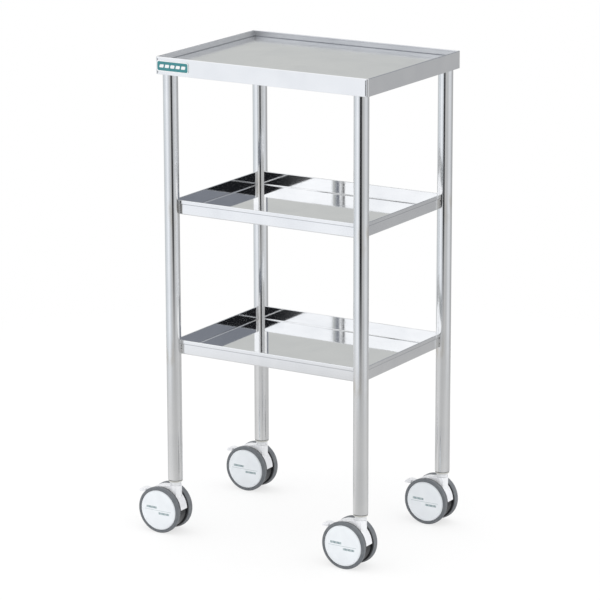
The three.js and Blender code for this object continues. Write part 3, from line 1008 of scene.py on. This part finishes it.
def stem(corner):
    low, high, axis = box_mm(f"caster_stem_{corner}")
    shoulder = low.z + STEM_PIN_LENGTH
    pad = axle_height + HOOD_TOP + GAP
    top = box_mm(f"caster_socket_{corner}")[0].z - GAP
    middle = (pad + top) / 2
    mesh = lathe(fillet([
        (0, low.z), (STEM_PIN, low.z, 0.5), (STEM_PIN, shoulder, 0.2),
        (STEM_RADIUS, shoulder, 0.3), (STEM_RADIUS, high.z, 1.5), (0, high.z),
    ], 4), SMALL_ROUND)
    place(f"caster_stem_{corner}_pin", mesh, plated_steel,
          (axis.x, axis.y, 0), [f"caster_stem_{corner}"])
    groove = COLLAR_RADIUS - COLLAR_GROOVE
    mouth, bottom = COLLAR_GROOVE_WIDTHS
    collar = lathe(fillet([
        (STEM_RADIUS, pad, 0.1), (COLLAR_RADIUS, pad, 0.6),
        (COLLAR_RADIUS, middle - mouth, 0.2),
        (groove, middle - bottom, 0.1), (groove, middle + bottom, 0.1),
        (COLLAR_RADIUS, middle + mouth, 0.2),
        (COLLAR_RADIUS, top, 0.9), (STEM_RADIUS, top, 0.1),
    ], 4, closed=True))
    place(f"caster_stem_{corner}_collar", collar, collar_finish,
          (axis.x, axis.y, 0))


def hood_outline(inward, base):
    """The hood's side outline, `inward` mm inside its skin, closed through `base`."""
    front = HOOD_FRONT_ARC - inward
    back = HOOD_BACK_ARC - inward
    top = HOOD_TOP - inward
    outline = arc(front, *HOOD_FRONT_ANGLES)
    brow = outline[-1].x
    outline += [Vector((brow, top - HOOD_BROW))]
    outline += curve(outline[-1], (brow, top), (brow - HOOD_BROW, top))
    outline += [Vector((HOOD_PAD_END, top))]
    rear = arc(back, *HOOD_BACK_ANGLES)
    outline += curve(outline[-1], ((HOOD_PAD_END + rear[0].x) / 2, back), rear[0])
    return outline + rear[1:] + [Vector(point) for point in base]


def hood_cavity(gap):
    inward = HOOD_WALL + gap
    base = ((-CLEAR, PEDAL_LEVEL + PEDAL_THICKNESS), (-CLEAR, -CLEAR),
            (HOOD_FRONT_ARC - inward, -CLEAR))
    tunnel = slab(hood_outline(inward, base), HOOD_HALF_WIDTH - HOOD_CHEEK - gap)
    nose = rod(NOSE_RADIUS - inward, NOSE_CAVITY_BOTTOM, HOOD_TOP - inward)
    return joined(tunnel, shifted(nose, TRAIL))


def hood_mesh():
    shell = slab(hood_outline(0, ((0, 0),)), HOOD_HALF_WIDTH)
    nose = shifted(rod(NOSE_RADIUS, NOSE_BOTTOM, HOOD_TOP, ROUND), TRAIL)
    middle = along_y(rod(CHEEK_ARC, -CLEAR, CLEAR, ROUND))
    hole = shifted(rod(STEM_RADIUS + GAP, 0, CLEAR), TRAIL)
    return moulded(cut(joined(shell, nose), hood_cavity(0), middle, hole), *HOOD_MOULD)


def frame_mesh():
    disc = along_y(rod(FRAME_DISC, -FRAME_HALF_WIDTH, FRAME_HALF_WIDTH, ROUND))
    neck = block(0, CLEAR, FRAME_HALF_WIDTH, FRAME_BASE, CLEAR)
    body = common(joined(disc, neck), hood_cavity(GAP))
    bearing = HOOD_TOP - HOOD_WALL - STEM_PIN_LENGTH - BEARING_CLEARANCE
    stem_bore = shifted(rod(STEM_PIN + GAP, bearing, CLEAR), TRAIL)
    axle_bore = along_y(rod(AXLE_RADIUS + GAP, -CLEAR, CLEAR))
    chamber = block(-CLEAR, PIVOT.x + CHAMBER_FRONT, PEDAL_ARM + GAP, CHAMBER_BOTTOM, CLEAR)
    return moulded(cut(body, stem_bore, axle_bore, pin_bore(), chamber), *FRAME_MOULD)


def pin_bore():
    bore = along_y(rod(PIN_RADIUS + PIN_GAP, -CLEAR, CLEAR))
    return shifted(bore, PIVOT.x, 0, PIVOT.y)


def pedal_mesh():
    level = PEDAL_LEVEL
    arm = block(PEDAL_ARM_END, PIVOT.x, PEDAL_ARM, level, level + PEDAL_THICKNESS)
    near, tip = PEDAL_TAB_START, -PEDAL_REACH
    outline = [Vector((near, level)), Vector((near, level + PEDAL_THICKNESS))]
    crown, upper, front, lower, under = [Vector((tip + x, level + z)) for x, z in PEDAL_TIP]
    outline += curve(outline[-1], ((near + tip) / 2, level + PEDAL_CROWN), crown)
    outline += curve(crown, upper, front)
    outline += curve(front, lower, under)
    tab = slab(outline, PEDAL_TAB, PEDAL_TAB_EDGE)
    boss = along_y(rod(PEDAL_BOSS, -PEDAL_ARM, PEDAL_ARM))
    body = joined(arm, tab, shifted(boss, PIVOT.x, 0, PIVOT.y))
    return moulded(cut(body, pin_bore()), *HOOD_MOULD)


def round_bar(radius, half_length, rounding):
    return along_y(lathe(fillet([
        (0, -half_length), (radius, -half_length, rounding),
        (radius, half_length, rounding), (0, half_length),
    ], 4), SMALL_ROUND))


def axle_mesh():
    return round_bar(AXLE_RADIUS, AXLE_HALF_LENGTH, 0.5)


def pin_mesh():
    pin = round_bar(PIN_RADIUS, FRAME_HALF_WIDTH - PIN_INSET, 0.3)
    return shifted(pin, PIVOT.x, 0, PIVOT.y)


def core_mesh(side):
    """A cup on the axle, with a wide flange that shows beside the tyre."""
    bore = AXLE_RADIUS + GAP
    mouth, bottom = CORE_RING_WIDTHS
    ring = WHEEL_INNER + CORE_RING_DEPTH
    return along_y(lathe(fillet([
        (bore, WHEEL_INNER, 0.3), (CORE_RING - mouth, WHEEL_INNER, 0.2),
        (CORE_RING - bottom, ring, 0.2), (CORE_RING + bottom, ring, 0.2),
        (CORE_RING + mouth, WHEEL_INNER, 0.2), (CORE_FLANGE - 1, WHEEL_INNER, 0.9),
        (CORE_FLANGE - 0.6, CORE_FLANGE_END, 0.4), (CORE_SEAT, CORE_FLANGE_END, 0.3),
        (CORE_SEAT, CAP_SEAT, 0.4), (CUP_MOUTH, CAP_SEAT, 0.5), (*CUP_FLOOR, 1.5),
        (bore, HUB_END, 0.4),
    ], 3, closed=True)), side)


def tyre_mesh(side):
    seat = CORE_SEAT + GAP
    rim = CAP_RADIUS + GAP
    return along_y(lathe(fillet([
        (seat, TREAD_START, 0.3), (WHEEL_RADIUS - 2 * TREAD_DROP, TREAD_START, 0.8),
        (WHEEL_RADIUS, TREAD_FULL[0], 5.0), (WHEEL_RADIUS, TREAD_FULL[1], 2.0),
        (WHEEL_RADIUS - TREAD_DROP, TREAD_END, 1.2), (rim, WHEEL_OUTER, 0.5),
        (rim, CAP_SEAT, 0.2), (seat, CAP_SEAT, 0.4),
    ], 5, closed=True)), side)


def cap_mesh(side):
    """A domed disc with a bevelled edge and a fine ring step inside it."""
    seat = CAP_SEAT + GAP
    profile = [(radius, seat + level, *rounding) for radius, level, *rounding in CAP_PROFILE]
    return along_y(lathe(fillet([(0, seat), (CAP_RADIUS, seat, 0.3), *profile], 5)), side)


def caster_pieces():
    """Each caster shape is made once and shared by the four corners."""
    shared = {
        "caster_hood": (hood_mesh(), white_plastic, "swivel", "white_plastic"),
        "caster_frame": (frame_mesh(), black_plastic, "swivel", "black_plastic"),
        "axle": (axle_mesh(), plated_steel, "swivel", "plated_steel"),
        "brake_pin": (pin_mesh(), plated_steel, "swivel", "plated_steel"),
        "brake_pedal": (pedal_mesh(), white_plastic, "brake", "white_plastic"),
    }
    wheel = {
        "wheel_core": (core_mesh, black_plastic, "black_plastic"),
        "tyre": (tyre_mesh, tyre_rubber, "grey_tyre"),
        "hub_cap": (cap_mesh, cap_plastic, "white_plastic"),
    }
    wheel_meshes = {(part, letter): maker(side)
                    for part, (maker, _, _) in wheel.items()
                    for letter, side in WHEEL_SIDES.items()}
    for corner in CORNERS:
        at = box_mm(f"axle_{corner}")[2]
        for part, (mesh, finish, body, slot) in shared.items():
            node = f"{part}_{corner}"
            place(f"{node}_finish", mesh, finish, at, [node], f"{body}_{corner}")
        for (part, letter), mesh in wheel_meshes.items():
            _, finish, slot = wheel[part]
            node = f"{part}_{corner}_{letter}"
            place(f"{node}_finish", mesh, finish, at, [node],
                  f"wheel_{corner}_{letter}")
        socket(corner)
        stem(corner)


# ---- Studio ----

CAMERA_AZIMUTH = 31.596
CAMERA_ELEVATION = 14.365
CAMERA_ROLL = -0.155
CAMERA_DISTANCE = 5.3527
CAMERA_AIM = Vector((-0.0128, -0.00787, 0.3967))  # from the point under the top's middle
CAMERA_LENS = 193.06
CAMERA_REACH = 50.0
BEHIND = 1.5  # half a turn, and a whole one to stay above zero

WHITE = rgb(1.0, 1.0, 1.0)
AMBIENT = (0.86, 1.36)  # light on dull surfaces, away from the key side and towards it
KEY_SIDE = Vector((-0.15, -0.65, 0.75)).normalized()
LOW_TO_HIGH = (0.0, 0.08)  # heights of a ray where one surround gives way to the next
HIGH_TO_SKY = (0.45, 0.8)
SKY = rgb(1.05, 1.06, 1.08)

FLOOR_RINGS = (0.25, 0.5, 0.85, 1.2, 1.6)  # radii, m
FLOOR_FADE = (0.85, 1.568)  # it fades into the white surround between these radii
FLOOR_SIDES = 96
FLOOR_COLOR = rgb(0.93, 0.93, 0.93)
FLOOR_LIT = 0.70  # share of the floor's own glow in what the camera sees

# What polished steel sees round the cart: angles anticlockwise from the camera.
SURROUND_LOW = (
    (-180, (0.62, 0.62, 0.61)), (-152, (0.63, 0.64, 0.65)), (-128, (0.64, 0.67, 0.69)),
    (-89, (0.74, 0.78, 0.82)), (-60, (0.98, 1.0, 1.04)), (-35, (0.68, 0.71, 0.75)),
    (-20, (0.58, 0.59, 0.60)), (0, (0.54, 0.54, 0.54)), (20, (0.52, 0.52, 0.52)),
    (35, (0.51, 0.52, 0.53)), (60, (0.74, 0.75, 0.77)), (89, (0.69, 0.71, 0.73)),
    (105, (0.50, 0.50, 0.51)), (117, (0.46, 0.465, 0.475)), (140, (0.42, 0.42, 0.43)),
    (155, (0.46, 0.46, 0.45)), (180, (0.62, 0.62, 0.61)),
)
SURROUND_HIGH = (
    (-180, (0.59, 0.60, 0.59)), (-160, (0.59, 0.60, 0.59)), (-140, (0.80, 0.81, 0.80)),
    (-130, (1.15, 1.16, 1.18)), (-28, (1.15, 1.16, 1.18)), (-22, (0.60, 0.60, 0.60)),
    (26, (0.60, 0.60, 0.60)), (30, (0.55, 0.55, 0.55)), (55, (0.55, 0.55, 0.55)),
    (59, (1.00, 1.00, 1.00)), (98, (1.00, 1.00, 1.00)), (106, (0.235, 0.25, 0.285)),
    (140, (0.235, 0.25, 0.285)), (160, (0.42, 0.44, 0.46)), (180, (0.59, 0.60, 0.59)),
)
# The floor as polished steel sees it, by the same angles.
FLOOR_GLOW = (
    (-180, 0.64), (-128, 0.62), (-89, 0.755), (-60, 0.71), (-35, 0.60), (0, 0.53),
    (20, 0.55), (60, 0.65), (100, 0.56), (128, 0.54), (180, 0.64),
)

# A black screen in front of the camera that only polished surfaces see, m.
SCREEN_DISTANCE = 0.86
SCREEN_HALF_WIDTH = 0.36
SCREEN_HEIGHTS = (0.01, 1.35)
SCREEN_SOFT_SIDE = (0.08, 0.33)  # fades out between these distances from its middle
SCREEN_SOFT_FOOT = (0.03, 0.36)  # and between these heights
SCREEN_COLOR = rgb(0.012, 0.013, 0.015)


def camera():
    azimuth = math.radians(CAMERA_AZIMUTH)
    elevation = math.radians(CAMERA_ELEVATION)
    roll = math.radians(CAMERA_ROLL)
    back = Vector((math.sin(azimuth) * math.cos(elevation),
                   -math.cos(azimuth) * math.cos(elevation), math.sin(elevation)))
    right = Vector((math.cos(azimuth), math.sin(azimuth), 0))
    up = back.cross(right)
    data = bpy.data.cameras.new("camera")
    data.lens = CAMERA_LENS
    data.clip_end = CAMERA_REACH
    view = add_object("camera", data)
    turn = Matrix((right, up, back)).transposed() @ Matrix.Rotation(roll, 3, "Z")
    aim = CAMERA_AIM + Vector((box_mm("top_tray")[2].x * MM, 0, 0))
    view.matrix_world = Matrix.Translation(aim + back * CAMERA_DISTANCE) @ turn.to_4x4()
    scene.camera = view


def camera_turn(nodes, x, y):
    """The angle of (x, y) from the camera's heading, as a share of a turn from behind."""
    heading = nodes.math("ARCTAN2", y, x)
    camera_heading = math.radians(CAMERA_AZIMUTH) - math.pi / 2
    turns = nodes.math("DIVIDE", nodes.math("SUBTRACT", heading, camera_heading), 2 * math.pi)
    return nodes.math("FRACT", nodes.math("ADD", turns, BEHIND))


def panels(nodes, share, stops):
    return nodes.ramp(share, [((angle + 180) / 360, rgb(*color)) for angle, color in stops])


def surround():
    """White for the camera, soft light for dull surfaces, panels for the reflections."""
    world = bpy.data.worlds.new("studio")
    world.use_nodes = True
    scene.world = world
    nodes = Nodes(world.node_tree)
    direction = nodes.add("ShaderNodeTexCoord").outputs["Generated"]
    x, y, z = nodes.axes(direction)
    share = camera_turn(nodes, x, y)
    level = nodes.blend(nodes.remap(z, *LOW_TO_HIGH, smooth=True),
                        panels(nodes, share, SURROUND_LOW),
                        panels(nodes, share, SURROUND_HIGH))
    reflected = nodes.blend(nodes.remap(z, *HIGH_TO_SKY, smooth=True), level, SKY)
    facing = nodes.add("ShaderNodeVectorMath", {0: direction, 1: KEY_SIDE},
                       operation="DOT_PRODUCT").outputs["Value"]
    soft = nodes.remap(facing, -1.0, 1.0, *AMBIENT)
    path = nodes.add("ShaderNodeLightPath").outputs
    sky = nodes.blend(path["Is Glossy Ray"], WHITE, reflected)
    seen = nodes.blend(path["Is Camera Ray"], sky, WHITE)
    unlit = nodes.math("MAXIMUM", path["Is Glossy Ray"], path["Is Camera Ray"])
    strength = nodes.math("ADD", nodes.times(unlit, nodes.math("SUBTRACT", 1.0, soft)), soft)
    background = world.node_tree.nodes["Background"]
    nodes.feed(background.inputs["Color"], seen)
    nodes.feed(background.inputs["Strength"], strength)


def stage_finish(owner):
    """The node tree of a new material on a stage piece."""
    material = bpy.data.materials.new(owner.name)
    material.use_nodes = True
    owner.data.materials.append(material)
    return Nodes(material.node_tree)


def show(finish, shader):
    output = finish.tree.nodes["Material Output"]
    finish.feed(output.inputs["Surface"], shader)


def floor():
    """A pale floor under the cart that fades into the white surround."""
    rings = [[Vector((0, 0, 0))]]
    for radius in FLOOR_RINGS:
        rings.append([p.to_3d() for p in circle(radius, FLOOR_SIDES)])
    disc = add_object("studio_floor", skin(rings, caps=False))
    finish = stage_finish(disc)
    diffuse = finish.shader("ShaderNodeBsdfDiffuse", {"Color": FLOOR_COLOR})
    lit = finish.shader("ShaderNodeEmission", {"Color": WHITE})
    x, y, _ = finish.own_axes()
    glow_color = panels(finish, camera_turn(finish, x, y),
                        [(angle, (glow, glow, glow)) for angle, glow in FLOOR_GLOW])
    glow = finish.shader("ShaderNodeEmission", {"Color": glow_color})
    path = finish.add("ShaderNodeLightPath").outputs
    pale = finish.mix_shader(FLOOR_LIT, diffuse, lit)
    dull = finish.mix_shader(path["Is Camera Ray"], diffuse, pale)
    seen = finish.mix_shader(path["Is Glossy Ray"], dull, glow)
    radius = finish.add("ShaderNodeVectorMath", {0: finish.coordinates()},
                        operation="LENGTH").outputs["Value"]
    fade = finish.remap(radius, *FLOOR_FADE, smooth=True)
    clear = finish.shader("ShaderNodeBsdfTransparent")
    show(finish, finish.mix_shader(fade, seen, clear))


def screen():
    """The black screen that draws the dark line down each polished tube."""
    heading = math.radians(CAMERA_AZIMUTH)
    out = Vector((math.sin(heading), -math.cos(heading), 0))
    across = Vector((math.cos(heading), math.sin(heading), 0))
    bottom, top = SCREEN_HEIGHTS
    corners = [across * side * SCREEN_HALF_WIDTH + Vector((0, 0, z))
               for side, z in ((-1, bottom), (1, bottom), (1, top), (-1, top))]
    mesh = bpy.data.meshes.new("studio_screen")
    mesh.from_pydata(corners, [], [(0, 1, 2, 3)])
    card = add_object("studio_screen", mesh)
    card.location = out * SCREEN_DISTANCE
    card.visible_camera = False
    card.visible_diffuse = False
    card.visible_shadow = False
    finish = stage_finish(card)
    x, y, z = finish.own_axes()
    sideways = finish.math("ADD", finish.times(x, across.x), finish.times(y, across.y))
    near, far = SCREEN_SOFT_SIDE
    side_mask = finish.remap(finish.distance(sideways), near, far, 1.0, 0.0, smooth=True)
    mask = finish.times(side_mask, finish.remap(z, *SCREEN_SOFT_FOOT, smooth=True))
    clear = finish.shader("ShaderNodeBsdfTransparent")
    black = finish.shader("ShaderNodeEmission", {"Color": SCREEN_COLOR})
    show(finish, finish.mix_shader(mask, clear, black))


random.seed(7)
leg_high, leg_middle = box_mm("leg_front_left")[1:]
leg_radius = leg_high.x - leg_middle.x
axle_height = box_mm("axle_front_left")[2].z

top_tray()
for pan_name in PAN_NAMES:
    pan(pan_name)
    pan_welds(pan_name)
for leg_corner in CORNERS:
    leg_pieces(leg_corner)
badge()
caster_pieces()

camera()
surround()
floor()
screen()
scene.view_settings.view_transform = "Standard"

bpy.context.view_layer.update()
